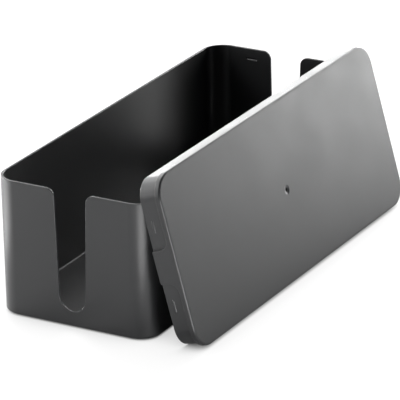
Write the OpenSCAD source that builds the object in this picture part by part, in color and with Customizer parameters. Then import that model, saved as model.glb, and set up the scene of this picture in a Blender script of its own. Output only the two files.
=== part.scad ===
// Cable management box: an open moulded tub that hides a power strip, with a tapered
// slot in each end for the cables, and a lid whose lip drops inside the tub's walls.
// The lid has been taken off. It stands on the table on its lip and leans, face
// outwards, on the tub's rim.
// Millimetres, +Z up. X runs along the length, and the lid leans on the -Y side.
// The origin is on the table, under the middle of the tub.

/* [Tub] */
// Outside length at the rim
box_length = 407; // [300:1:500]
// Outside width at the rim
box_width = 157; // [130:1:200]
// Height of the rim above the table
box_height = 128; // [90:1:170]
// Outside radius of the upright corners, at the rim
corner_radius = 21.5; // [16:0.5:28]
// Lean of the walls from upright, in degrees, so that the tub leaves its mould
wall_draft = 0.75; // [0.25:0.05:1.25]
// Thickness of the walls
wall = 2.2; // [1.8:0.1:3]
// Thickness of the floor
floor_thickness = 2.4; // [2:0.1:3.5]
// Outside radius where the walls meet the underside
heel_radius = 3; // [1.5:0.5:5]
// Inside radius where the walls meet the floor
floor_fillet = 1.6; // [0.8:0.2:4]
// Radius of both edges of the rim
rim_radius = 0.6; // [0.3:0.1:0.8]

/* [Cable slots] */
// Width of each slot at the rim, between its straight sides
slot_width = 32; // [24:1:44]
// Lean of each side of the slot from upright, in degrees
slot_taper = 1.6; // [0.4:0.1:2.4]
// Height of the slot's lowest point above the table
slot_sill = 15.8; // [10:0.2:40]
// Radius of the two corners where a slot opens into the rim
slot_corner_radius = 8; // [4:0.5:11]

/* [Lid] */
// Thickness of the lid's face
lid_thickness = 2.2; // [1.8:0.1:3]
// Height of the band that stays above the rim, flush with the tub
lid_band = 5; // [4:0.2:9]
// Radius of the edge round the lid's face
lid_edge_radius = 1.5; // [0.5:0.1:3]
// Depth of the lip that drops inside the walls, below the band
lip_depth = 16.6; // [13:0.2:26]
// Thickness of the lip at its free edge
lip_thickness = 1.5; // [1.3:0.1:2.4]
// Radius of the edges of the lip's free edge
lip_edge_radius = 0.4; // [0.2:0.1:0.6]
// Radius between the lip and the underside of the face
lid_fillet = 1.2; // [0.4:0.2:3]
// Gap between the lip and the walls when the lid is on
lid_gap = 0.2; // [0.1:0.05:0.5]
// Gap round the tab that fills the top of each slot when the lid is on
tab_gap = 0.4; // [0.2:0.05:0.8]
// Radius of the two corners at the tip of the tab
tab_corner_radius = 1; // [0.5:0.1:3]

/* [Hole in the lid] */
// Diameter of the hole in the middle of the face
hole_diameter = 3.6; // [2:0.1:6]
// Diameter of the shallow dish round the hole
dish_diameter = 9; // [7:0.1:12]
// Depth of the dish in its middle
dish_depth = 0.8; // [0.3:0.05:1.2]

/* [Snap ridges] */
// Overall length of each ridge on the lip
ridge_length = 12; // [8:0.5:18]
// Distance from the middle of the end to the middle of a ridge
ridge_offset = 36; // [33:0.5:46]
// Depth of the ridges below the rim when the lid is on
ridge_drop = 10; // [6:0.5:11]
// Radius of the ridge's round section
ridge_radius = 1.5; // [1.1:0.1:2]
// Height of the ridge above the lip
ridge_height = 0.6; // [0.4:0.05:0.9]
// Gap between a ridge and the groove that it clicks into
groove_gap = 0.2; // [0.1:0.05:0.4]

/* [Feet] */
// Diameter of each foot pad
foot_diameter = 14; // [8:0.5:20]
// Thickness of a foot pad
foot_thickness = 1.8; // [1.4:0.1:3]
// Depth of the recess that a foot pad is stuck into
foot_recess = 0.8; // [0.4:0.1:1.2]
// Gap round a foot pad in its recess
foot_gap = 0.2; // [0.1:0.05:0.5]
// Radius of the foot pad's lower edge
foot_edge_radius = 0.4; // [0.2:0.1:0.8]
// Distance from the tub's sides at the rim to the middle of a foot
foot_inset = 24; // [18:1:50]

/* [Leaning lid] */
// Lean of the lid from upright, in degrees
lid_lean = 15.6; // [8:0.2:28]
// Gap left between the leaning lid and the tub
lean_gap = 0.25; // [0.1:0.05:1]

/* [Hidden] */
FOOT_NODES = ["foot_front_left", "foot_front_right", "foot_back_left", "foot_back_right"];
$fn = 96;

tub_colour = "#3b3d40";
lid_colour = "#46494c";
foot_colour = "#1c1c1d";
// How far a cutting shape reaches past the surface that it cuts
overcut = 2;
// Sides of a full circle in the small roundings of an outline
round_sides = 32;
// Sides of a full circle as large as the dish's bowl
bowl_sides = 384;
// Share of its radius by which a rounding overlaps the outline behind it
round_overlap = 0.03;

// The plan of tub and lid is a rectangle with round corners about these centres
corner_x = box_length / 2 - corner_radius;
corner_y = box_width / 2 - corner_radius;

// Heights in the tub
underside_z = foot_thickness - foot_recess;
floor_z = underside_z + floor_thickness;

// The lid as it sits when it is on: its face is at 0, and depths run down from it
rim_in_lid = -lid_band;
lip_end = -lid_band - lip_depth;
// How far the lip's outside stands in from the tub's outside, at the rim
lip_inset = wall + lid_gap;
// Height of the snap ridges on the lid, and the place of their axis from its middle
ridge_z = rim_in_lid - ridge_drop;
ridge_x = box_length / 2 - lip_inset - draft(ridge_drop) - ridge_radius + ridge_height;

// Slot: its round bottom touches both leaning sides
slot_arc_radius = side_y(box_height - slot_sill, 0) * cos(slot_taper) / (1 - sin(slot_taper));
slot_arc_z = slot_sill + slot_arc_radius;
slot_side_end_z = slot_arc_z - slot_arc_radius * sin(slot_taper);

// Leaning lid: the outside of its lip stands on the table
lip_end_y = box_width / 2 - lip_inset - draft(lip_depth);
lean_z = (lip_end_y - lip_edge_radius) * cos(lid_lean)
    + (-lip_end - lip_edge_radius) * sin(lid_lean) + lip_edge_radius;
// Heights of the upper lip's free edge, at the lip's inside and at its outside
lip_inside_z = lean_height(lip_end_y - lip_thickness);
lip_outside_z = lean_height(lip_end_y);
// A rim below the upper lip reaches into the lid, so the end lips rest on its corners
rests_on_corners = box_height < lip_inside_z;
corner_bite = corner_radius - lip_inset - draft(lip_depth) - lip_thickness + lip_edge_radius;
corner_reach = corner_radius + lip_edge_radius + lean_gap;
corner_rest_y = lip_edge_radius - corner_y - sqrt(pow(corner_reach, 2) - pow(corner_bite, 2));
wall_rest_y = -box_width / 2 + draft(box_height - min(box_height, lip_outside_z)) - lean_gap;
// Where the plane of the lip's free edge rests on the tub
rest_z = rests_on_corners ? box_height : min(box_height, lip_outside_z);
rest_y = rests_on_corners ? corner_rest_y : wall_rest_y;
rest_up_lid = (rest_z - lean_z - lip_end * sin(lid_lean)) / cos(lid_lean);
lean_y = rest_y - rest_up_lid * sin(lid_lean) + lip_end * cos(lid_lean);

// How far a drafted wall comes in over a depth
function draft(depth) = depth * tan(wall_draft);

// Height above the table of a point on the lip's free edge, from its place up the lid
function lean_height(up_lid) = lean_z + up_lid * cos(lid_lean) + lip_end * sin(lid_lean);

// Half width between the slot's straight sides at a depth below the rim, less a gap
function side_y(depth, gap) = slot_width / 2 - depth * tan(slot_taper) - gap / cos(slot_taper);

// A closed outline, counterclockwise, whose corners are [x, y, radius]
module rounded_outline(corners) {
    last = len(corners) - 1;
    function at(i) = [corners[i][0], corners[i][1]];
    function towards(i, j) = (at(j) - at(i)) / norm(at(j) - at(i));
    function back(i) = towards(i, i == 0 ? last : i - 1);
    function ahead(i) = towards(i, i == last ? 0 : i + 1);
    function half_angle(i) = acos(back(i) * ahead(i)) / 2;
    function trim(i) = corners[i][2] / tan(half_angle(i));
    function bisector(i) = (back(i) + ahead(i)) / norm(back(i) + ahead(i));
    function centre(i) = at(i) + bisector(i) * corners[i][2] / sin(half_angle(i));
    function outward(i) = cross(back(i), ahead(i)) < 0;
    function arc_start(i) = at(i) + trim(i) * back(i);
    function arc_end(i) = at(i) + trim(i) * ahead(i);
    function behind(i) = (arc_start(i) + arc_end(i)) / 2
        + bisector(i) * corners[i][2] * round_overlap;
    // The part of each corner that its circle covers, down to just behind the arc's chord
    module rounds(outer) {
        for (i = [0 : last]) if (corners[i][2] > 0 && outward(i) == outer) intersection() {
            translate(centre(i)) circle(corners[i][2], $fn = round_sides);
            polygon([at(i), arc_end(i), behind(i), arc_start(i)]);
        }
    }
    difference() {
        polygon([for (i = [0 : last]) each corners[i][2] > 0
            ? [arc_start(i), arc_end(i)]
            : [at(i)]]);
        rounds(false);
    }
    rounds(true);
}

// Carries a section round the plan. The section's x runs outwards from a corner's centre
module round_the_plan() {
    for (turn = [0, 180]) rotate(turn) {
        translate([corner_x, corner_y, 0]) rotate_extrude(angle = 90) children();
        translate([-corner_x, corner_y, 0]) rotate(90) rotate_extrude(angle = 90) children();
        translate([corner_x, corner_y, 0]) rotate([90, 0, 0])
            linear_extrude(2 * corner_y) children();
        translate([-corner_x, corner_y, 0]) rotate([90, 0, 90])
            linear_extrude(2 * corner_x) children();
    }
}

// The flat plate inside the ring that round_the_plan makes
module plate(low_z, high_z) {
    translate([-corner_x, -corner_y, low_z]) cube([2 * corner_x, 2 * corner_y, high_z - low_z]);
}

// A slot's straight sides and the fillets that turn out into the rim, with the rim at 0
module slot_throat(depth, gap, tip_radius, above) {
    fillet = slot_corner_radius + gap;
    fillet_start = fillet * (1 - sin(slot_taper));
    fillet_y = side_y(fillet_start, gap) + fillet * cos(slot_taper);
    difference() {
        rounded_outline([
            [-fillet_y, 0, 0],
            [-side_y(fillet_start, gap), -fillet_start, 0],
            [-side_y(depth, gap), -depth, tip_radius],
            [side_y(depth, gap), -depth, tip_radius],
            [side_y(fillet_start, gap), -fillet_start, 0],
            [fillet_y, 0, 0],
        ]);
        for (side = [-1, 1]) translate([side * fillet_y, -fillet]) circle(fillet);
    }
    // Straight up from the rim
    translate([-fillet_y, 0]) square([2 * fillet_y, above]);
}

// Two round-ended bars on each end of the tub, along the lip's snap ridges
module snap_bars(radius) {
    straight = ridge_length / 2 - sqrt(pow(ridge_radius, 2) - pow(ridge_radius - ridge_height, 2));
    for (end = [0, 180], side = [-1, 1]) rotate(end) translate([ridge_x, side * ridge_offset, ridge_z]) {
        rotate([90, 0, 0]) cylinder(r = radius, h = 2 * straight, center = true);
        for (tip = [-1, 1]) translate([0, tip * straight, 0]) sphere(radius);
    }
}

// The tub: drafted walls on a floor, slotted at both ends
module box() {
    color(tub_colour) difference() {
        union() {
            round_the_plan() tub_section();
            plate(underside_z, floor_z);
        }
        rotate([90, 0, 90]) linear_extrude(box_length + 2 * overcut, center = true) slot_outline();
        translate([0, 0, box_height + lid_band]) snap_bars(ridge_radius + groove_gap);
        for (i = [0 : 3]) translate(foot_place(i)) translate([0, 0, underside_z - overcut])
            cylinder(d = foot_diameter + 2 * foot_gap, h = foot_recess + overcut);
    }
}

// Floor and wall of the tub, from a corner's centre outwards
module tub_section() {
    rounded_outline([
        [0, underside_z, 0],
        [corner_radius - draft(box_height - underside_z), underside_z, heel_radius],
        [corner_radius, box_height, rim_radius],
        [corner_radius - wall, box_height, rim_radius],
        [corner_radius - wall - draft(box_height - floor_z), floor_z, floor_fillet],
        [0, floor_z, 0],
    ]);
}

// A whole slot: the throat down to a round bottom
module slot_outline() {
    translate([0, box_height]) slot_throat(box_height - slot_side_end_z, 0, 0, overcut);
    translate([0, slot_arc_z]) circle(slot_arc_radius);
}

// The lid, face outwards, leaning on the tub
module lid() {
    color(lid_colour) translate([0, lean_y, lean_z]) rotate([90 - lid_lean, 0, 0]) difference() {
        union() {
            round_the_plan() lid_section();
            plate(-lid_thickness, 0);
            tab_fronts();
            snap_ridges();
        }
        tab_hollows();
        face_hole();
    }
}

// Face, band and lip of the lid, from a corner's centre outwards
module lid_section() {
    lip_outside = corner_radius - lip_inset;
    lip_inside = lip_outside - draft(lip_depth) - lip_thickness;
    rounded_outline([
        [0, -lid_thickness, 0],
        [lip_inside - draft(-lip_end - lid_thickness), -lid_thickness, lid_fillet],
        [lip_inside, lip_end, lip_edge_radius],
        [lip_outside - draft(lip_depth), lip_end, lip_edge_radius],
        [lip_outside, rim_in_lid, 0],
        [corner_radius, rim_in_lid, lip_edge_radius],
        [corner_radius, 0, lid_edge_radius],
        [0, 0, 0],
    ]);
}

// The tabs that fill the tops of the slots, flush with the tub's ends
module tab_fronts() {
    lip_middle = box_length / 2 - lip_inset - draft(lip_depth) - lip_thickness / 2;
    widest = slot_width + 4 * slot_corner_radius;
    for (end = [0, 180]) rotate(end) intersection() {
        translate([lip_middle, 0, rim_in_lid]) rotate([90, 0, 90])
            linear_extrude(box_length / 2 - lip_middle + overcut)
                slot_throat(lip_depth, tab_gap, tab_corner_radius, lip_edge_radius);
        rotate([90, 0, 0]) linear_extrude(widest, center = true) polygon([
            [lip_middle, lip_end],
            [box_length / 2 - draft(lip_depth), lip_end],
            [box_length / 2, rim_in_lid],
            [box_length / 2, rim_in_lid + lip_edge_radius],
            [lip_middle, rim_in_lid + lip_edge_radius],
        ]);
    }
}

// Each tab is hollow from inside the lid, so that the moulding keeps an even wall
module tab_hollows() {
    width = 2 * (side_y(lip_depth, tab_gap) - lip_thickness);
    front_x = box_length / 2 - lip_thickness;
    back_x = box_length / 2 - lip_inset - draft(lip_depth) - lip_thickness - overcut;
    for (end = [0, 180]) rotate(end) rotate([90, 0, 0]) linear_extrude(width, center = true)
        polygon([
            [back_x, lip_end - overcut],
            [front_x - draft(lip_depth + overcut), lip_end - overcut],
            [front_x, rim_in_lid],
            [back_x, rim_in_lid],
        ]);
}

// The snap ridges stand out of the lip's outside
module snap_ridges() {
    lip_x = box_length / 2 - lip_inset - draft(ridge_drop);
    intersection() {
        snap_bars(ridge_radius);
        for (end = [0, 180]) rotate(end) translate([lip_x - lip_thickness / 2, -corner_y, lip_end])
            cube([lip_thickness / 2 + 2 * ridge_height, 2 * corner_y, lip_depth]);
    }
}

// The small hole through the middle of the face, in a shallow round dish
module face_hole() {
    dish_radius = dish_diameter / 2;
    bowl_radius = (pow(dish_radius, 2) + pow(dish_depth, 2)) / (2 * dish_depth);
    translate([0, 0, -lid_thickness - overcut])
        cylinder(d = hole_diameter, h = lid_thickness + 2 * overcut);
    rotate_extrude() intersection() {
        translate([0, bowl_radius - dish_depth]) circle(bowl_radius, $fn = bowl_sides);
        translate([0, -dish_depth - overcut]) square([2 * dish_radius, dish_depth + 2 * overcut]);
    }
}

// Where the feet stand: front is -Y, left is -X
function foot_place(i) = [
    (i % 2 == 0 ? -1 : 1) * (box_length / 2 - foot_inset),
    (i < 2 ? -1 : 1) * (box_width / 2 - foot_inset),
    0,
];

// One soft foot pad, stuck into its recess in the tub's underside
module foot(i) {
    color(foot_colour) translate(foot_place(i)) rotate_extrude() rounded_outline([
        [0, 0, 0],
        [foot_diameter / 2, 0, foot_edge_radius],
        [foot_diameter / 2, foot_thickness, 0],
        [0, foot_thickness, 0],
    ]);
}

box();
lid();
for (i = [0 : 3]) foot(i);
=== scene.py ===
import math

import bpy
from bpy.props import FloatProperty, FloatVectorProperty, PointerProperty
from mathutils import Matrix, Vector


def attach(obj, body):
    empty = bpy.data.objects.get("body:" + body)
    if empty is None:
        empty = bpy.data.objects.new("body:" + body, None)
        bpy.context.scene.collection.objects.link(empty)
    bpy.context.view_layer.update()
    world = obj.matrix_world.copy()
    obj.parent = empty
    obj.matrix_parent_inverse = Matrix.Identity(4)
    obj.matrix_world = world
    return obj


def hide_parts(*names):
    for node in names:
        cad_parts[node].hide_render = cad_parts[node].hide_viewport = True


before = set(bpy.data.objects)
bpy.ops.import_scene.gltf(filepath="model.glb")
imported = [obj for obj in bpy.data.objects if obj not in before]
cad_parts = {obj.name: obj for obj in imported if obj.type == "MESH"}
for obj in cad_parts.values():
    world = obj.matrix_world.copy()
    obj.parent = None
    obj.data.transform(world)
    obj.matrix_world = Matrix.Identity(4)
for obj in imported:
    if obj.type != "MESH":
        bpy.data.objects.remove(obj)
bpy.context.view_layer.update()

bl_info = {
    "name": "Cable management box",
    "version": (1, 0, 0),
    "blender": (4, 5, 0),
    "location": "3D View > Sidebar > Cable Box",
    "description": "Moulded cable box with its lid taken off and leaning on it, on a studio floor",
    "category": "Object",
}


def length(name, description, default):
    """A size in metres"""
    return FloatProperty(
        name=name, description=description, default=default, min=0.0, unit="LENGTH", precision=5,
    )


def slope(name, description, degrees):
    """An angle from upright"""
    return FloatProperty(
        name=name, description=description, default=math.radians(degrees), min=0.0,
        max=math.radians(45.0), unit="ROTATION",
    )


class TubSizes(bpy.types.PropertyGroup):
    """Sizes of the tub"""

    length: length("Length", "Outside length at the rim", 0.407)
    width: length("Width", "Outside width at the rim", 0.157)
    height: length("Height", "Height of the rim above the table", 0.128)
    corner_radius: length("Corner radius", "Outside radius of the upright corners", 0.0215)
    draft: slope("Draft", "Lean of the walls from upright", 0.75)
    wall: length("Wall", "Thickness of the walls", 0.0022)
    underside: length("Underside", "Height of the underside above the table", 0.001)
    floor_thickness: length("Floor", "Thickness of the floor", 0.0024)
    heel_radius: length("Heel radius", "Radius where the walls meet the underside", 0.003)
    floor_fillet: length("Floor fillet", "Inside radius where the walls meet the floor", 0.0016)
    rim_radius: length("Rim radius", "Radius of the edges of rim and slots", 0.0006)
    slot_width: length("Slot width", "Width of each slot at the rim", 0.032)
    slot_taper: slope("Slot taper", "Lean of each side of the slot from upright", 1.6)
    slot_sill: length("Slot sill", "Height of the slot's lowest point above the table", 0.0158)
    slot_corner_radius: length("Slot corner", "Radius where a slot opens into the rim", 0.008)


class LidSizes(bpy.types.PropertyGroup):
    """Sizes of the lid"""

    thickness: length("Thickness", "Thickness of the face", 0.0022)
    band: length("Band", "Height of the band that stays above the rim", 0.005)
    edge_radius: length("Edge radius", "Radius of the edge round the face", 0.0015)
    lip_inset: length("Lip inset", "Step from the band in to the lip", 0.0024)
    lip_depth: length("Lip depth", "Depth of the lip below the band", 0.0166)
    lip_thickness: length("Lip thickness", "Thickness of the lip at its free edge", 0.0015)
    small_radius: length("Small radius", "Radius of the band's and the lip's lower edges", 0.0004)
    fillet: length("Fillet", "Radius between the lip and the underside of the face", 0.0012)
    tab_gap: length("Tab gap", "Gap round the tab in the slot", 0.0004)
    tab_corner_radius: length("Tab corner", "Radius of the two corners at the tip of a tab", 0.001)
    ridge_length: length("Ridge length", "Length of a snap ridge", 0.012)
    ridge_offset: length("Ridge offset", "From the middle of an end to a snap ridge", 0.036)
    ridge_drop: length("Ridge drop", "Depth of the snap ridges below the rim", 0.010)
    ridge_radius: length("Ridge radius", "Radius of a snap ridge's round section", 0.0015)
    ridge_height: length("Ridge height", "Height of a snap ridge above the lip", 0.0006)
    groove_gap: length("Groove gap", "Gap between a snap ridge and its groove", 0.0002)
    hole_diameter: length("Hole", "Diameter of the hole in the face", 0.0036)
    hole_draft: slope("Hole draft", "Lean of the hole's wall, wider inwards", 25.0)
    dish_diameter: length("Dish", "Diameter of the shallow dish round the hole", 0.009)
    dish_depth: length("Dish depth", "Depth of the dish in its middle", 0.0008)
    lean: slope("Lean", "Lean of the lid from upright", 15.6)
    place: FloatVectorProperty(
        name="Place", description="Middle of the leaning lid's face", subtype="TRANSLATION",
        size=3, default=(0.0, -0.1059681, 0.0788032), precision=5,
    )


class FootSizes(bpy.types.PropertyGroup):
    """Sizes of the recesses for the foot pads"""

    diameter: length("Diameter", "Diameter of the recess for a foot pad", 0.0144)
    recess: length("Recess", "Depth of the recess for a foot pad", 0.0008)
    inset: length("Inset", "From the tub's sides to the middle of a foot", 0.024)


class PlasticLook(bpy.types.PropertyGroup):
    """Colours and surface of the mouldings and the foot pads"""

    tub_colour: FloatVectorProperty(
        name="Tub colour", description="Colour of the tub's plastic", subtype="COLOR",
        size=3, min=0.0, max=1.0, default=(0.0200, 0.0205, 0.0215),
    )
    lid_colour: FloatVectorProperty(
        name="Lid colour", description="Colour of the lid's plastic", subtype="COLOR",
        size=3, min=0.0, max=1.0, default=(0.0200, 0.0205, 0.0215),
    )
    rubber_colour: FloatVectorProperty(
        name="Rubber colour", description="Colour of the foot pads", subtype="COLOR",
        size=3, min=0.0, max=1.0, default=(0.012, 0.012, 0.012),
    )
    roughness: FloatProperty(
        name="Roughness", description="Roughness of the moulded surface",
        min=0.05, max=1.0, default=0.34, subtype="FACTOR",
    )
    rubber_roughness: FloatProperty(
        name="Rubber roughness", description="Roughness of the foot pads",
        min=0.05, max=1.0, default=0.75, subtype="FACTOR",
    )
    # Lightens and slickens the rounded edges: the lightening stands partly for rubbing from
    # handling and partly for a painted highlight along the edges
    wear_and_edge_highlight: FloatProperty(
        name="Wear and edge highlight", description="How much lighter and slicker handling has made the edges",
        min=0.0, max=1.0, default=0.35, subtype="FACTOR",
    )
    grain_size: FloatProperty(
        name="Grain size", description="Width of one grain of the etched mould texture",
        min=0.0001, max=0.004, default=0.0006, unit="LENGTH",
    )
    grain_depth: FloatProperty(
        name="Grain depth", description="Depth of the etched mould texture",
        min=0.0, max=0.0005, default=0.00003, unit="LENGTH",
    )
    edge_radius: FloatProperty(
        name="Edge radius", description="Radius that the light shows on the moulded edges",
        min=0.0, max=0.003, default=0.0003, unit="LENGTH",
    )


class StudioLook(bpy.types.PropertyGroup):
    """Floor, lamps and camera"""

    floor_size: length("Floor size", "Width of the studio floor", 30.0)
    floor_colour: FloatVectorProperty(
        name="Floor colour", description="Colour of the studio floor", subtype="COLOR",
        size=3, min=0.0, max=1.0, default=(0.8, 0.8, 0.8),
    )
    floor_lift: FloatProperty(
        name="Floor lift", description="White that the camera sees on the open floor",
        min=0.0, max=1.0, default=0.955, subtype="FACTOR",
    )
    floor_shadow: FloatProperty(
        name="Floor shadow", description="Share of the lamps' shadows that the camera sees",
        min=0.0, max=1.0, default=0.05, subtype="FACTOR",
    )
    contact_reach: length("Contact reach", "How far the contact shadow reaches", 0.06)
    contact_falloff: FloatProperty(
        name="Contact falloff",
        description="How soon the contact shadow fades away from the object",
        min=0.5, max=8.0, default=2.3,
    )
    ambient: FloatProperty(
        name="Ambient", description="Strength of the light from all round",
        min=0.0, max=1.0, default=0.0, subtype="FACTOR",
    )
    lamp_power: FloatProperty(
        name="Lamp power", description="Scales all the lamps together",
        min=0.0, max=10.0, default=1.0, subtype="FACTOR",
    )
    camera_azimuth: FloatProperty(
        name="Camera azimuth", description="Direction in which the camera looks, from +X",
        default=math.radians(28.820), subtype="ANGLE",
    )
    camera_elevation: FloatProperty(
        name="Camera elevation", description="How far down the camera looks",
        default=math.radians(21.441), subtype="ANGLE",
    )
    camera_roll: FloatProperty(
        name="Camera roll", description="Tilt of the camera", default=math.radians(-0.570),
        subtype="ANGLE",
    )
    camera_offset: FloatVectorProperty(
        name="Camera offset", description="Camera's place right, up and back from the origin",
        subtype="XYZ", size=3, unit="LENGTH", default=(0.0140981, 0.0462586, 3.3044),
    )
    camera_lens: FloatProperty(
        name="Camera lens", description="Focal length in millimetres, on a sensor 36 mm wide",
        default=323.469, min=1.0,
    )


# Name, place, width, height and watts of each lamp that is turned to the object
LAMPS = (
    ("back_lowest", (0.000, 1.396, 0.110), 0.9, 0.2, 23.0),
    ("back_right_top", (0.418, 0.418, 1.269), 0.6, 0.6, 13.0),
    ("right_middle", (1.279, 0.000, 0.569), 0.5, 0.4, 7.4),
    ("right_low", (1.369, 0.000, 0.291), 0.45, 0.3, 6.3),
    ("right_low_second", (1.323, -0.354, 0.291), 0.45, 0.3, 5.5),
    ("back_left_high", (-0.597, 0.852, 0.937), 0.6, 0.5, 4.6),
    ("front_left_lowest", (-0.699, -1.211, 0.120), 0.4, 0.22, 10.0),
    ("back_high", (0.000, 1.040, 0.937), 0.6, 0.5, 4.2),
    ("right_middle_second", (1.235, -0.331, 0.569), 0.5, 0.4, 4.0),
    ("back_left_low", (-0.968, 0.968, 0.291), 0.45, 0.3, 3.4),
    ("back_left_middle", (-0.927, 0.835, 0.636), 0.5, 0.4, 2.0),
    ("back_right_middle", (0.822, 0.980, 0.569), 0.5, 0.4, 1.8),
    ("back_right_high", (0.520, 0.901, 0.937), 0.6, 0.5, 3.8),
    ("front_lowest", (-0.362, -1.350, 0.073), 0.45, 0.13, 1.3),
    ("back_right_lowest", (0.989, 0.989, 0.073), 0.45, 0.13, 2.3),
    ("left_lowest", (-1.398, 0.000, 0.073), 0.45, 0.13, 2.2),
    ("back_right_low", (1.186, 0.685, 0.291), 0.45, 0.3, 2.1),
    ("front_right_lowest", (1.211, -0.699, 0.073), 0.45, 0.13, 2.0),
    ("back_right_lowest_second", (1.211, 0.699, 0.073), 0.45, 0.13, 1.3),
    ("right_lowest", (1.398, 0.000, 0.073), 0.45, 0.13, 1.1),
)
# The same for each light panel that lies on the floor and shines up
FLOOR_PANELS = (
    ("front_left_floor", (-0.390, -0.220, 0.002), 0.15, 0.15, 0.67),
    ("back_left_floor", (-0.270, 0.310, 0.002), 0.2, 0.2, 0.49),
)
# The point that the lamps are turned to
LAMP_TARGET = (0.0, -0.02, 0.07)
# A lamp no higher than this lies on the floor
FLOOR_PANEL_HEIGHT = 0.002

# How finely the curves are made
CORNER_SEGMENTS = 32
ROUND_SEGMENTS = 8
EDGE_SEGMENTS = 4
BOTTOM_SEGMENTS = 32
FILLET_SEGMENTS = 20
TIP_SEGMENTS = 8
SMALL_SEGMENTS = 3
DISH_SEGMENTS = 10
CIRCLE_VERTICES = 64
BAR_SEGMENTS = 24
BAR_RINGS = 13
# How far a cutting shape reaches past what it cuts
OVERCUT = 0.002
# Places closer than the first are one point, and heights closer than the second are the same
MERGE_DISTANCE = 2e-6
SAME_HEIGHT = 1e-6
# Insets smaller than this are a straight wall
NO_INSET = 1e-7
# Play that a cut and its merging leave in a height, and in how far a place stands in
CUT_HEIGHT_PLAY = 1e-5
CUT_INSET_PLAY = 2e-5
# Faces whose normals pass this along Z look up or down
FLAT_NORMAL = 0.9
# Edges sharper than the first are rounded, and edges sharper than the second stay crisp
SHARP_ANGLE = math.radians(40.0)
CRISP_ANGLE = math.radians(35.0)
# Faces narrower than this belong to a rounded edge
EDGE_STRIP = 0.0003
WEIGHTED_NORMAL_WEIGHT = 100

# Scale, detail, values read and values given of each soft pattern on the plastic
COLOUR_DRIFT = (9.0, 4.0, (0.3, 0.7), (0.94, 1.06))
# The patches vary how much the rounded edges are lightened, as rubbing and as a painted highlight
WEAR_AND_HIGHLIGHT_PATCHES = (45.0, 5.0, (0.35, 0.65), (0.4, 1.0))
SMUDGES = (22.0, 6.0, (0.3, 0.7), (-0.03, 0.03))
# How fully rubbed edges change colour and roughness; the lighter colour is partly a painted
# highlight along the edges
WEAR_AND_HIGHLIGHT_LIGHTER = 2.0
WORN_SLICKER = -0.25
GRAIN_DETAIL = 2.0
EDGE_SAMPLES = 6
CONTACT_SAMPLES = 16
PLASTIC_IOR = 1.5
FLOOR_ROUGHNESS = 0.7
WHITE = (1.0, 1.0, 1.0, 1.0)
CAMERA_REACH = (0.1, 100.0)


def add(name, primitive, **where):
    """Adds a primitive with nothing else selected, its place in its mesh, and edits it"""
    if bpy.context.mode != "OBJECT":
        bpy.ops.object.mode_set(mode="OBJECT")
    bpy.ops.object.select_all(action="DESELECT")
    primitive(**where)
    bpy.ops.object.transform_apply(location=True, rotation=True, scale=True)
    piece = bpy.context.object
    piece.name = piece.data.name = name
    bpy.ops.object.mode_set(mode="EDIT")
    return piece


def choose(piece, mode, test):
    """Selects the vertices, or the faces by middle and normal, that pass a test"""
    bpy.ops.mesh.select_mode(type=mode)
    bpy.ops.mesh.select_all(action="DESELECT")
    bpy.ops.object.mode_set(mode="OBJECT")
    if mode == "VERT":
        for vertex in piece.data.vertices:
            vertex.select = test(vertex.co)
    else:
        for face in piece.data.polygons:
            face.select = test(face.center, face.normal)
    bpy.ops.object.mode_set(mode="EDIT")


def choose_sharp(piece, test):
    """Selects the sharp edges whose both ends pass a test"""
    bpy.ops.mesh.select_mode(type="EDGE")
    bpy.ops.mesh.select_all(action="DESELECT")
    bpy.ops.mesh.edges_select_sharp(sharpness=SHARP_ANGLE)
    bpy.ops.object.mode_set(mode="OBJECT")
    mesh = piece.data
    chosen = [
        edge.select and all(test(mesh.vertices[i].co) for i in edge.vertices)
        for edge in mesh.edges
    ]
    for items in (mesh.polygons, mesh.edges, mesh.vertices):
        items.foreach_set("select", [False] * len(items))
    mesh.edges.foreach_set("select", chosen)
    for edge in mesh.edges:
        if edge.select:
            for i in edge.vertices:
                mesh.vertices[i].select = True
    bpy.ops.object.mode_set(mode="EDIT")


def rounded_line(corners, segments):
    """Points of a section, whose corners are (inset, height, radius)"""
    points = []
    for i, (inset, height, radius) in enumerate(corners):
        here = Vector((inset, height))
        if radius == 0.0:
            points.append(here)
            continue
        back = (Vector(corners[i - 1][:2]) - here).normalized()
        ahead = (Vector(corners[i + 1][:2]) - here).normalized()
        half = back.angle(ahead) / 2
        centre = here + (back + ahead).normalized() * radius / math.sin(half)
        start = here + back * radius / math.tan(half) - centre
        turn = start.angle_signed(here + ahead * radius / math.tan(half) - centre)
        for step in range(segments + 1):
            arm = start.copy()
            arm.rotate(Matrix.Rotation(-turn * step / segments, 2))
            points.append(centre + arm)
    return points


def carry_in(points, facing):
    """Carries the selected face inwards along a section, ring by ring"""
    for here, there in zip(points, points[1:]):
        thickness, rise = there - here
        if abs(thickness) < NO_INSET:
            bpy.ops.mesh.extrude_region_move(
                TRANSFORM_OT_translate={"value": (0.0, 0.0, rise), "orient_type": "GLOBAL"},
            )
        else:
            bpy.ops.mesh.inset(thickness=thickness, depth=rise * facing, use_even_offset=True)


def rounded_block(name, half_length, half_width, radius, high, low):
    """A block whose plan is a rectangle with round corners"""
    piece = add(name, bpy.ops.mesh.primitive_plane_add, size=2.0, location=(0.0, 0.0, high))
    bpy.ops.transform.resize(value=(half_length, half_width, 1.0))
    bpy.ops.mesh.bevel(offset=radius, segments=CORNER_SEGMENTS, affect="VERTICES")
    bpy.ops.mesh.extrude_region_move(
        TRANSFORM_OT_translate={"value": (0.0, 0.0, low - high), "orient_type": "GLOBAL"},
    )
    bpy.ops.mesh.select_all(action="SELECT")
    bpy.ops.mesh.normals_make_consistent(inside=False)
    return piece


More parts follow.
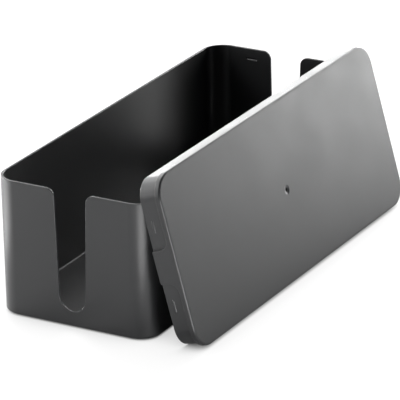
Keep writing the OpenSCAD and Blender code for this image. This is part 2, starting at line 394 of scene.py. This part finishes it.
def throat(name, top, taper, depth, fillet, tip_radius, tip_segments, rim, half_length):
    """A bar along the tub with the outline of a slot, whose rim is at a height"""
    half_corner = (math.pi / 2 + taper) / 2
    flare = top + fillet / math.tan(half_corner)
    tip = top - depth * math.tan(taper)
    piece = add(
        name, bpy.ops.mesh.primitive_plane_add, size=2.0, rotation=(math.pi / 2, 0.0, math.pi / 2),
        location=(-half_length, 0.0, rim - depth / 2),
    )
    bpy.ops.transform.resize(value=(1.0, tip, depth / 2))
    choose(piece, "VERT", lambda place: place.z > rim - depth / 2)
    bpy.ops.transform.resize(value=(1.0, top / tip, 1.0))
    bpy.ops.mesh.extrude_region_move(
        TRANSFORM_OT_translate={"value": (0.0, 0.0, OVERCUT), "orient_type": "GLOBAL"},
    )
    for side in (-1, 1):
        choose(piece, "VERT", lambda place: place.z > rim - SAME_HEIGHT and place.y * side > 0.0)
        bpy.ops.mesh.extrude_region_move(TRANSFORM_OT_translate={
            "value": (0.0, side * (flare - top), 0.0), "orient_type": "GLOBAL",
        })
    bpy.ops.mesh.select_all(action="SELECT")
    bpy.ops.mesh.dissolve_limited(angle_limit=math.radians(1.0))
    choose(piece, "VERT", lambda place: place.z < rim - SAME_HEIGHT)
    bpy.ops.mesh.bevel(
        offset=tip_radius / math.tan(half_corner), segments=tip_segments, affect="VERTICES",
        clamp_overlap=False,
    )
    choose(piece, "VERT", lambda place: (
        abs(place.z - rim) < SAME_HEIGHT and abs(place.y) < flare - SAME_HEIGHT
    ))
    bpy.ops.mesh.bevel(
        offset=flare - top, segments=FILLET_SEGMENTS, affect="VERTICES", clamp_overlap=False,
    )
    bpy.ops.mesh.select_all(action="SELECT")
    bpy.ops.mesh.remove_doubles(threshold=MERGE_DISTANCE)
    bpy.ops.mesh.extrude_region_move(
        TRANSFORM_OT_translate={"value": (2 * half_length, 0.0, 0.0), "orient_type": "GLOBAL"},
    )
    bpy.ops.mesh.select_all(action="SELECT")
    bpy.ops.mesh.normals_make_consistent(inside=False)
    return piece


def snap_bar(name, radius, lid, tub, height):
    """A round-ended bar along a snap ridge at the right end's back"""
    ridge, proud = lid.ridge_radius, lid.ridge_height
    straight = lid.ridge_length / 2 - math.sqrt(ridge ** 2 - (ridge - proud) ** 2)
    axis = tub.length / 2 - lid.lip_inset - lid.ridge_drop * math.tan(tub.draft) - ridge + proud
    piece = add(
        name, bpy.ops.mesh.primitive_uv_sphere_add, segments=BAR_SEGMENTS,
        ring_count=BAR_RINGS, radius=radius,
        location=(axis, lid.ridge_offset, height), rotation=(math.pi / 2, 0.0, 0.0),
    )
    for side in (-1, 1):
        choose(piece, "VERT", lambda place: (place.y - lid.ridge_offset) * side > 0.0)
        bpy.ops.transform.translate(value=(0.0, side * straight, 0.0))
    bpy.ops.mesh.select_all(action="SELECT")
    return piece


def mirror(piece, *axes):
    """Copies a shape to the other end, or the other end and side"""
    bpy.ops.object.mode_set(mode="OBJECT")
    bpy.ops.object.modifier_add(type="MIRROR")
    modifier = piece.modifiers[-1]
    for axis in range(3):
        modifier.use_axis[axis] = axis in axes
    modifier.use_mirror_merge = False
    bpy.ops.object.modifier_apply(modifier=modifier.name)
    bpy.ops.object.mode_set(mode="EDIT")
    bpy.ops.mesh.select_all(action="SELECT")
    bpy.ops.mesh.normals_make_consistent(inside=False)


def put_in_order(mesh):
    """Puts a mesh's points and faces in the order of their places, which a cut leaves open"""
    order = sorted(range(len(mesh.vertices)), key=lambda index: tuple(mesh.vertices[index].co))
    rank = {index: place for place, index in enumerate(order)}
    points = [tuple(mesh.vertices[index].co) for index in order]
    faces = []
    for face in mesh.polygons:
        ring = [rank[index] for index in face.vertices]
        first = ring.index(min(ring))
        faces.append(ring[first:] + ring[:first])
    mesh.clear_geometry()
    mesh.from_pydata(points, [], sorted(faces))


def combine(piece, tool, operation):
    """Cuts a shape out of a piece, or joins it on"""
    bpy.ops.object.mode_set(mode="OBJECT")
    bpy.ops.object.select_all(action="DESELECT")
    bpy.context.view_layer.objects.active = piece
    piece.select_set(True)
    bpy.ops.object.modifier_add(type="BOOLEAN")
    modifier = piece.modifiers[-1]
    modifier.operation = operation
    modifier.solver = "EXACT"
    modifier.object = tool
    bpy.ops.object.modifier_apply(modifier=modifier.name)
    shape = tool.data
    bpy.data.objects.remove(tool)
    bpy.data.meshes.remove(shape)
    put_in_order(piece.data)
    bpy.ops.object.mode_set(mode="EDIT")
    bpy.ops.mesh.select_all(action="SELECT")
    bpy.ops.mesh.remove_doubles(threshold=MERGE_DISTANCE)


def soften(piece, radius, segments, test):
    """Rounds the sharp edges that pass a test"""
    choose_sharp(piece, test)
    bpy.ops.mesh.bevel(
        offset=radius, segments=segments, affect="EDGES", clamp_overlap=False, loop_slide=True,
    )


def mark_edges(mesh):
    """Marks the narrow faces of the rounded edges, which are lightened as rubbed by handling and
    as a painted highlight
    """
    spans = {
        edge.key: (mesh.vertices[edge.key[0]].co - mesh.vertices[edge.key[1]].co).length
        for edge in mesh.edges
    }
    marks = mesh.attributes.new("rounded_edge", "FLOAT", "FACE")
    for mark, face in zip(marks.data, mesh.polygons):
        outline = sum(spans[key] for key in face.edge_keys)
        mark.value = float(2.0 * face.area < EDGE_STRIP * outline)


def finish(piece, material, body, node):
    """Gives a moulding its shading, material, body and place in the frame"""
    bpy.ops.object.mode_set(mode="OBJECT")
    mark_edges(piece.data)
    bpy.ops.object.select_all(action="DESELECT")
    piece.select_set(True)
    bpy.context.view_layer.objects.active = piece
    bpy.ops.object.shade_smooth_by_angle(angle=CRISP_ANGLE)
    bpy.ops.object.modifier_add(type="WEIGHTED_NORMAL")
    modifier = piece.modifiers[-1]
    modifier.keep_sharp = True
    modifier.weight = WEIGHTED_NORMAL_WEIGHT
    bpy.ops.object.modifier_apply(modifier=modifier.name)
    piece.data.materials.append(material)
    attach(piece, body)
    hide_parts(node)


def maths(tree, operation, *values):
    """Adds a math node on sockets and numbers, and gives its result"""
    node = tree.nodes.new("ShaderNodeMath")
    node.operation = operation
    for socket, value in zip(node.inputs, values):
        if isinstance(value, bpy.types.NodeSocket):
            tree.links.new(value, socket)
        else:
            socket.default_value = value
    return node.outputs["Value"]


def soft_pattern(tree, place, scale, detail, read, given):
    """Soft patches on the surface, given as values in a range"""
    noise = tree.nodes.new("ShaderNodeTexNoise")
    noise.inputs["Scale"].default_value = scale
    noise.inputs["Detail"].default_value = detail
    tree.links.new(place, noise.inputs["Vector"])
    spread = tree.nodes.new("ShaderNodeMapRange")
    spread.inputs["From Min"].default_value, spread.inputs["From Max"].default_value = read
    spread.inputs["To Min"].default_value, spread.inputs["To Max"].default_value = given
    tree.links.new(noise.outputs["Fac"], spread.inputs["Value"])
    return spread.outputs["Result"]


def moulded_surface_group():
    """Drifting colour and roughness, rounded edges lightened as rubbed and as a painted highlight,
    and bumped normal of a moulded plastic
    """
    group = bpy.data.node_groups.new("Moulded surface", "ShaderNodeTree")
    sockets = group.interface
    for name, kind, value in (
        ("Colour", "NodeSocketColor", (0.04, 0.04, 0.04, 1.0)),
        ("Roughness", "NodeSocketFloat", 0.4),
        ("Grain size", "NodeSocketFloat", 0.0006),
        ("Grain depth", "NodeSocketFloat", 0.00003),
        ("Edge radius", "NodeSocketFloat", 0.0003),
        ("Wear and edge highlight", "NodeSocketFloat", 0.35),
    ):
        socket = sockets.new_socket(name, in_out="INPUT", socket_type=kind)
        socket.default_value = value
    sockets.new_socket("Colour", in_out="OUTPUT", socket_type="NodeSocketColor")
    sockets.new_socket("Roughness", in_out="OUTPUT", socket_type="NodeSocketFloat")
    sockets.new_socket("Normal", in_out="OUTPUT", socket_type="NodeSocketVector")
    nodes, links = group.nodes, group.links
    inside = nodes.new("NodeGroupInput")
    outside = nodes.new("NodeGroupOutput")
    place = nodes.new("ShaderNodeTexCoord").outputs["Object"]

    # Handling has rubbed the rounded edges, here more and there less, and their lighter colour is
    # also a painted highlight
    edges = nodes.new("ShaderNodeAttribute")
    edges.attribute_name = "rounded_edge"
    patches = soft_pattern(group, place, *WEAR_AND_HIGHLIGHT_PATCHES)
    wear_and_highlight_mask = maths(group, "MULTIPLY", edges.outputs["Fac"], patches)
    wear_and_edge_highlight = maths(group, "MULTIPLY", wear_and_highlight_mask, inside.outputs["Wear and edge highlight"])

    drift = soft_pattern(group, place, *COLOUR_DRIFT)
    shade = nodes.new("ShaderNodeVectorMath")
    shade.operation = "SCALE"
    links.new(inside.outputs["Colour"], shade.inputs[0])
    # The rounded edges are lightened here, partly as rubbing and partly as a painted highlight
    links.new(maths(group, "MULTIPLY_ADD", wear_and_edge_highlight, WEAR_AND_HIGHLIGHT_LIGHTER, drift), shade.inputs["Scale"])
    links.new(shade.outputs["Vector"], outside.inputs["Colour"])

    smudges = soft_pattern(group, place, *SMUDGES)
    rough = maths(group, "ADD", inside.outputs["Roughness"], smudges)
    slicker = maths(group, "MULTIPLY_ADD", wear_and_edge_highlight, WORN_SLICKER, rough)
    links.new(slicker, outside.inputs["Roughness"])

    grain = nodes.new("ShaderNodeTexNoise")
    grain.inputs["Detail"].default_value = GRAIN_DETAIL
    links.new(place, grain.inputs["Vector"])
    density = maths(group, "DIVIDE", 1.0, inside.outputs["Grain size"])
    links.new(density, grain.inputs["Scale"])
    edge = nodes.new("ShaderNodeBevel")
    edge.samples = EDGE_SAMPLES
    links.new(inside.outputs["Edge radius"], edge.inputs["Radius"])
    bump = nodes.new("ShaderNodeBump")
    links.new(inside.outputs["Grain depth"], bump.inputs["Distance"])
    links.new(grain.outputs["Fac"], bump.inputs["Height"])
    links.new(edge.outputs["Normal"], bump.inputs["Normal"])
    links.new(bump.outputs["Normal"], outside.inputs["Normal"])
    return group


def moulded_plastic(name, colour, roughness, look):
    """A plastic of one colour with the moulded surface"""
    group = bpy.data.node_groups.get("Moulded surface") or moulded_surface_group()
    material = bpy.data.materials.new(name)
    material.use_nodes = True
    nodes, links = material.node_tree.nodes, material.node_tree.links
    shader = nodes["Principled BSDF"]
    shader.inputs["IOR"].default_value = PLASTIC_IOR
    surface = nodes.new("ShaderNodeGroup")
    surface.node_tree = group
    surface.inputs["Colour"].default_value = (*colour, 1.0)
    surface.inputs["Roughness"].default_value = roughness
    surface.inputs["Grain size"].default_value = look.grain_size
    surface.inputs["Grain depth"].default_value = look.grain_depth
    surface.inputs["Edge radius"].default_value = look.edge_radius
    # How much the rounded edges are lightened, as rubbing and as a painted highlight, and made
    # slicker
    surface.inputs["Wear and edge highlight"].default_value = look.wear_and_edge_highlight
    links.new(surface.outputs["Colour"], shader.inputs["Base Color"])
    links.new(surface.outputs["Roughness"], shader.inputs["Roughness"])
    links.new(surface.outputs["Normal"], shader.inputs["Normal"])
    return material


def studio_floor(look):
    """A white floor, on which the camera sees a contact shadow and little of the others"""
    material = bpy.data.materials.new("Studio floor")
    material.use_nodes = True
    nodes, links = material.node_tree.nodes, material.node_tree.links
    shader = nodes["Principled BSDF"]
    shader.inputs["Roughness"].default_value = FLOOR_ROUGHNESS
    shader.inputs["Emission Color"].default_value = WHITE
    ray = nodes.new("ShaderNodeLightPath")
    share = nodes.new("ShaderNodeMapRange")
    share.inputs["To Min"].default_value = 1.0
    share.inputs["To Max"].default_value = look.floor_shadow
    links.new(ray.outputs["Is Camera Ray"], share.inputs["Value"])
    base = nodes.new("ShaderNodeVectorMath")
    base.operation = "SCALE"
    base.inputs[0].default_value = look.floor_colour
    links.new(share.outputs["Result"], base.inputs["Scale"])
    links.new(base.outputs["Vector"], shader.inputs["Base Color"])
    contact = nodes.new("ShaderNodeAmbientOcclusion")
    contact.samples = CONTACT_SAMPLES
    contact.inputs["Distance"].default_value = look.contact_reach
    covered = maths(material.node_tree, "SUBTRACT", 1.0, contact.outputs["AO"])
    shadow = maths(material.node_tree, "POWER", covered, look.contact_falloff)
    white = nodes.new("ShaderNodeMapRange")
    white.inputs["To Min"].default_value = look.floor_lift
    white.inputs["To Max"].default_value = 0.0
    links.new(shadow, white.inputs["Value"])
    lift = maths(
        material.node_tree, "MULTIPLY", ray.outputs["Is Camera Ray"], white.outputs["Result"],
    )
    links.new(lift, shader.inputs["Emission Strength"])
    return material


class CABLEBOX_OT_tub(bpy.types.Operator):
    """Models the tub: drafted walls on a floor, slotted at both ends"""

    bl_idname = "cablebox.tub"
    bl_label = "Tub"

    def execute(self, context):
        sizes, lid = context.scene.cablebox_tub, context.scene.cablebox_lid
        feet, look = context.scene.cablebox_feet, context.scene.cablebox_plastic
        rim, land = sizes.height, 2 * sizes.rim_radius
        floor = sizes.underside + sizes.floor_thickness
        draft = math.tan(sizes.draft)

        tub = rounded_block(
            "tub_moulding", sizes.length / 2, sizes.width / 2, sizes.corner_radius,
            rim, rim - land,
        )
        choose(tub, "FACE", lambda middle, normal: normal.z < -FLAT_NORMAL)
        heel = (rim - sizes.underside) * draft
        carry_in(rounded_line((
            (0.0, rim - land, 0.0),
            (heel, sizes.underside, sizes.heel_radius),
            (heel + 2 * sizes.heel_radius, sizes.underside, 0.0),
        ), ROUND_SEGMENTS), -1)
        choose(tub, "FACE", lambda middle, normal: (
            normal.z > FLAT_NORMAL and middle.z > rim - SAME_HEIGHT
        ))
        foot = sizes.wall + (rim - floor) * draft
        carry_in(rounded_line((
            (0.0, rim, 0.0),
            (sizes.wall, rim, 0.0),
            (foot, floor, sizes.floor_fillet),
            (foot + 2 * sizes.floor_fillet, floor, 0.0),
        ), ROUND_SEGMENTS), 1)

        # The slot's round bottom touches both leaning sides and the sill
        depth = rim - sizes.slot_sill
        sill = sizes.slot_width / 2 - depth * math.tan(sizes.slot_taper)
        bottom = sill * math.tan((math.pi / 2 + sizes.slot_taper) / 2)
        combine(tub, throat(
            "slot_cutter", sizes.slot_width / 2, sizes.slot_taper, depth,
            sizes.slot_corner_radius, bottom, BOTTOM_SEGMENTS, rim, sizes.length / 2 + OVERCUT,
        ), "DIFFERENCE")
        soften(tub, sizes.rim_radius, EDGE_SEGMENTS, lambda place: True)

        groove = snap_bar(
            "groove_cutter", lid.ridge_radius + lid.groove_gap, lid, sizes, rim - lid.ridge_drop,
        )
        mirror(groove, 0, 1)
        combine(tub, groove, "DIFFERENCE")
        recess = add(
            "recess_cutter", bpy.ops.mesh.primitive_cylinder_add, vertices=CIRCLE_VERTICES,
            radius=feet.diameter / 2, depth=2 * feet.recess, location=(
                sizes.length / 2 - feet.inset, sizes.width / 2 - feet.inset, sizes.underside,
            ),
        )
        mirror(recess, 0, 1)
        combine(tub, recess, "DIFFERENCE")
        plastic = moulded_plastic("Tub plastic", look.tub_colour, look.roughness, look)
        finish(tub, plastic, "tub", "box")
        return {"FINISHED"}


class CABLEBOX_OT_lid(bpy.types.Operator):
    """Models the lid: a face, a band flush with the tub, a lip and two tabs"""

    bl_idname = "cablebox.lid"
    bl_label = "Lid"

    def execute(self, context):
        tub, sizes = context.scene.cablebox_tub, context.scene.cablebox_lid
        look = context.scene.cablebox_plastic
        draft = math.tan(tub.draft)
        rim = -sizes.band
        end = rim - sizes.lip_depth
        half_length, half_width = tub.length / 2, tub.width / 2

        # A thick skirt, flush with the tub all round, with the lid's inside
        lid = rounded_block(
            "lid_moulding", half_length, half_width, tub.corner_radius, -sizes.edge_radius, rim,
        )
        choose(lid, "FACE", lambda middle, normal: normal.z > FLAT_NORMAL)
        carry_in(rounded_line((
            (0.0, rim, 0.0),
            (0.0, 0.0, sizes.edge_radius),
            (2 * sizes.edge_radius, 0.0, 0.0),
        ), EDGE_SEGMENTS)[1:], 1)
        choose(lid, "FACE", lambda middle, normal: normal.z < -FLAT_NORMAL)
        flush = sizes.lip_depth * draft
        inside = sizes.lip_inset + flush + sizes.lip_thickness
        top = inside + (-end - sizes.thickness) * draft
        carry_in(rounded_line((
            (0.0, rim, 0.0),
            (flush, end, 0.0),
            (inside, end, sizes.small_radius),
            (top, -sizes.thickness, sizes.fillet),
            (top + 2 * sizes.fillet, -sizes.thickness, 0.0),
        ), EDGE_SEGMENTS), -1)

        # What is taken off round the lip, apart from the two tabs
        lip = rounded_block(
            "lip_core", half_length - sizes.lip_inset + OVERCUT * draft,
            half_width - sizes.lip_inset + OVERCUT * draft,
            tub.corner_radius - sizes.lip_inset + OVERCUT * draft,
            rim + OVERCUT, rim + OVERCUT / 2,
        )
        choose(lip, "FACE", lambda middle, normal: normal.z < -FLAT_NORMAL)
        carry_in((
            Vector((0.0, rim + OVERCUT / 2)),
            Vector((draft * (sizes.lip_depth + OVERCUT * 5 / 2), end - 2 * OVERCUT)),
        ), -1)
        waste = add(
            "step_cutter", bpy.ops.mesh.primitive_cube_add, size=2.0,
            location=(0.0, 0.0, (rim + end - OVERCUT) / 2),
            scale=(
                half_length + OVERCUT, half_width + OVERCUT, (sizes.lip_depth + OVERCUT) / 2,
            ),
        )
        combine(waste, lip, "DIFFERENCE")
        half_corner = (math.pi / 2 + tub.slot_taper) / 2
        combine(waste, throat(
            "tab_core", tub.slot_width / 2 - sizes.tab_gap / math.cos(tub.slot_taper),
            tub.slot_taper, sizes.lip_depth, tub.slot_corner_radius + sizes.tab_gap,
            sizes.tab_corner_radius / math.tan(half_corner), TIP_SEGMENTS, rim,
            half_length + 2 * OVERCUT,
        ), "DIFFERENCE")
        combine(lid, waste, "DIFFERENCE")

        def depth_in(place):
            """How far a place stands in from the plan's outline"""
            past_x = abs(place.x) - half_length + tub.corner_radius
            past_y = abs(place.y) - half_width + tub.corner_radius
            if past_x > 0.0 and past_y > 0.0:
                return tub.corner_radius - math.hypot(past_x, past_y)
            return tub.corner_radius - max(past_x, past_y)

        def on_front(place):
            """Whether a place is on the lower edge of the band or of a tab"""
            wall = (rim - place.z) * draft
            return place.z < rim + CUT_HEIGHT_PLAY and depth_in(place) < wall + CUT_INSET_PLAY

        def on_lip_edge(place):
            """Whether a place is on the free edge of the lip"""
            return place.z < end + CUT_HEIGHT_PLAY and sizes.lip_inset < depth_in(place)

        soften(lid, sizes.small_radius, SMALL_SEGMENTS, on_front)
        soften(lid, sizes.small_radius, SMALL_SEGMENTS, on_lip_edge)

        # Each tab is hollow from inside
        tip = tub.slot_width / 2 - sizes.lip_depth * math.tan(tub.slot_taper)
        hollow_width = 2 * (tip - sizes.tab_gap / math.cos(tub.slot_taper) - sizes.lip_thickness)
        front = half_length - sizes.lip_thickness
        back = half_length - inside - OVERCUT
        hollow = add(
            "hollow_cutter", bpy.ops.mesh.primitive_cube_add, size=1.0,
            location=((front + back) / 2, 0.0, (rim + end - OVERCUT) / 2),
            scale=(front - back, hollow_width, sizes.lip_depth + OVERCUT),
        )
        bpy.ops.mesh.bisect(
            plane_co=(front, 0.0, rim), plane_no=(1.0, 0.0, -draft), use_fill=True,
            clear_outer=True,
        )
        mirror(hollow, 0)
        combine(lid, hollow, "DIFFERENCE")

        ridge = snap_bar("snap_ridge", sizes.ridge_radius, sizes, tub, rim - sizes.ridge_drop)
        bpy.ops.mesh.bisect(
            plane_co=(half_length - sizes.lip_inset - sizes.lip_thickness / 2, 0.0, 0.0),
            plane_no=(1.0, 0.0, 0.0), use_fill=True, clear_inner=True,
        )
        mirror(ridge, 0, 1)
        combine(lid, ridge, "UNION")

        # The hole stands in a shallow round dish, and widens inwards as a core pin leaves it
        dish, bore = sizes.dish_diameter / 2, sizes.hole_diameter / 2
        bowl = (dish ** 2 + sizes.dish_depth ** 2) / (2 * sizes.dish_depth)
        steps = ((dish - bore) * step / DISH_SEGMENTS for step in range(DISH_SEGMENTS + 1))
        drill = add(
            "hole_cutter", bpy.ops.mesh.primitive_cylinder_add, vertices=CIRCLE_VERTICES,
            radius=dish, depth=OVERCUT, location=(0.0, 0.0, OVERCUT / 2),
        )
        choose(drill, "FACE", lambda middle, normal: normal.z < -FLAT_NORMAL)
        carry_in([
            Vector((inset, bowl - sizes.dish_depth - math.sqrt(bowl ** 2 - (dish - inset) ** 2)))
            for inset in steps
        ], -1)
        dished = sizes.dish_depth - bowl + math.sqrt(bowl ** 2 - bore ** 2)
        sunk = sizes.thickness + OVERCUT - dished
        widened = 1.0 + sunk * math.tan(sizes.hole_draft) / bore
        bpy.ops.mesh.extrude_region_move(
            TRANSFORM_OT_translate={"value": (0.0, 0.0, -sunk), "orient_type": "GLOBAL"},
        )
        bpy.ops.transform.resize(value=(widened, widened, 1.0))
        combine(lid, drill, "DIFFERENCE")

        lean = math.pi / 2 - sizes.lean
        bpy.ops.transform.rotate(
            value=-lean, orient_axis="X", orient_type="GLOBAL", center_override=(0.0, 0.0, 0.0),
        )
        bpy.ops.transform.translate(value=sizes.place)
        plastic = moulded_plastic("Lid plastic", look.lid_colour, look.roughness, look)
        finish(lid, plastic, "lid", "lid")
        return {"FINISHED"}


class CABLEBOX_OT_feet(bpy.types.Operator):
    """Finishes the four foot pads in soft rubber"""

    bl_idname = "cablebox.feet"
    bl_label = "Feet"

    def execute(self, context):
        look = context.scene.cablebox_plastic
        rubber = moulded_plastic(
            "Foot rubber", look.rubber_colour, look.rubber_roughness, look,
        )
        for name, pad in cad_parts.items():
            if name.startswith("foot_"):
                pad.data.materials.clear()
                pad.data.materials.append(rubber)
        return {"FINISHED"}


class CABLEBOX_OT_stage(bpy.types.Operator):
    """Sets up the floor, the lamps and the camera"""

    bl_idname = "cablebox.stage"
    bl_label = "Stage"

    def execute(self, context):
        look = context.scene.cablebox_studio
        bpy.ops.object.select_all(action="DESELECT")
        bpy.ops.mesh.primitive_plane_add(size=look.floor_size)
        floor = context.object
        floor.name = "studio_floor"
        floor.data.materials.append(studio_floor(look))

        for name, place, width, height, watts in LAMPS + FLOOR_PANELS:
            bpy.ops.object.light_add(type="AREA", location=place)
            lamp = context.object
            lamp.name = name + "_lamp"
            if place[2] > FLOOR_PANEL_HEIGHT:
                aim = Vector(LAMP_TARGET) - Vector(place)
            else:
                aim = Vector((0.0, 0.0, 1.0))
            lamp.rotation_euler = aim.to_track_quat("-Z", "Y").to_euler()
            lamp.data.shape = "RECTANGLE"
            lamp.data.size = width
            lamp.data.size_y = height
            lamp.data.energy = watts * look.lamp_power
            lamp.visible_camera = False

        # The backdrop is white to the camera only, and lights the object by the ambient share
        world = bpy.data.worlds.new("Studio")
        context.scene.world = world
        world.use_nodes = True
        nodes, links = world.node_tree.nodes, world.node_tree.links
        backdrop = nodes["Background"]
        backdrop.inputs["Color"].default_value = WHITE
        ray = nodes.new("ShaderNodeLightPath")
        white = nodes.new("ShaderNodeMapRange")
        white.inputs["To Min"].default_value = look.ambient
        white.inputs["To Max"].default_value = 1.0
        links.new(ray.outputs["Is Camera Ray"], white.inputs["Value"])
        links.new(white.outputs["Result"], backdrop.inputs["Strength"])

        # The camera stands where the photograph's did
        azimuth, elevation, roll = look.camera_azimuth, look.camera_elevation, look.camera_roll
        forward = Vector((
            math.cos(elevation) * math.cos(azimuth),
            math.cos(elevation) * math.sin(azimuth),
            -math.sin(elevation),
        ))
        level = Vector((math.sin(azimuth), -math.cos(azimuth), 0.0))
        upright = level.cross(forward)
        right = math.cos(roll) * level + math.sin(roll) * upright
        up = -math.sin(roll) * level + math.cos(roll) * upright
        side, rise, distance = look.camera_offset
        data = bpy.data.cameras.new("Photograph camera")
        data.lens = look.camera_lens
        data.clip_start, data.clip_end = CAMERA_REACH
        camera = bpy.data.objects.new("photograph_camera", data)
        context.scene.collection.objects.link(camera)
        turn = Matrix((right, up, -forward)).transposed().to_4x4()
        camera.matrix_world = Matrix.Translation(
            side * right + rise * up - distance * forward
        ) @ turn
        context.scene.camera = camera
        context.scene.view_settings.view_transform = "Standard"
        return {"FINISHED"}


class CABLEBOX_PT_panel(bpy.types.Panel):
    """Sizes, looks and steps of the cable box"""

    bl_idname = "CABLEBOX_PT_panel"
    bl_label = "Cable Box"
    bl_space_type = "VIEW_3D"
    bl_region_type = "UI"
    bl_category = "Cable Box"

    def draw(self, context):
        layout = self.layout
        for name, group in GROUPS:
            box = layout.box()
            box.label(text=group.__doc__)
            for size in group.__annotations__:
                box.prop(getattr(context.scene, name), size)
        for step in STEPS:
            layout.operator(step.bl_idname)


GROUPS = (
    ("cablebox_tub", TubSizes),
    ("cablebox_lid", LidSizes),
    ("cablebox_feet", FootSizes),
    ("cablebox_plastic", PlasticLook),
    ("cablebox_studio", StudioLook),
)
STEPS = (CABLEBOX_OT_tub, CABLEBOX_OT_lid, CABLEBOX_OT_feet, CABLEBOX_OT_stage)


def register():
    for name, group in GROUPS:
        bpy.utils.register_class(group)
        setattr(bpy.types.Scene, name, PointerProperty(type=group))
    for kind in (*STEPS, CABLEBOX_PT_panel):
        bpy.utils.register_class(kind)


def unregister():
    for kind in (CABLEBOX_PT_panel, *reversed(STEPS)):
        bpy.utils.unregister_class(kind)
    for name, group in reversed(GROUPS):
        delattr(bpy.types.Scene, name)
        bpy.utils.unregister_class(group)


def main():
    register()
    bpy.ops.cablebox.tub()
    bpy.ops.cablebox.lid()
    bpy.ops.cablebox.feet()
    bpy.ops.cablebox.stage()


if __name__ == "__main__":
    main()
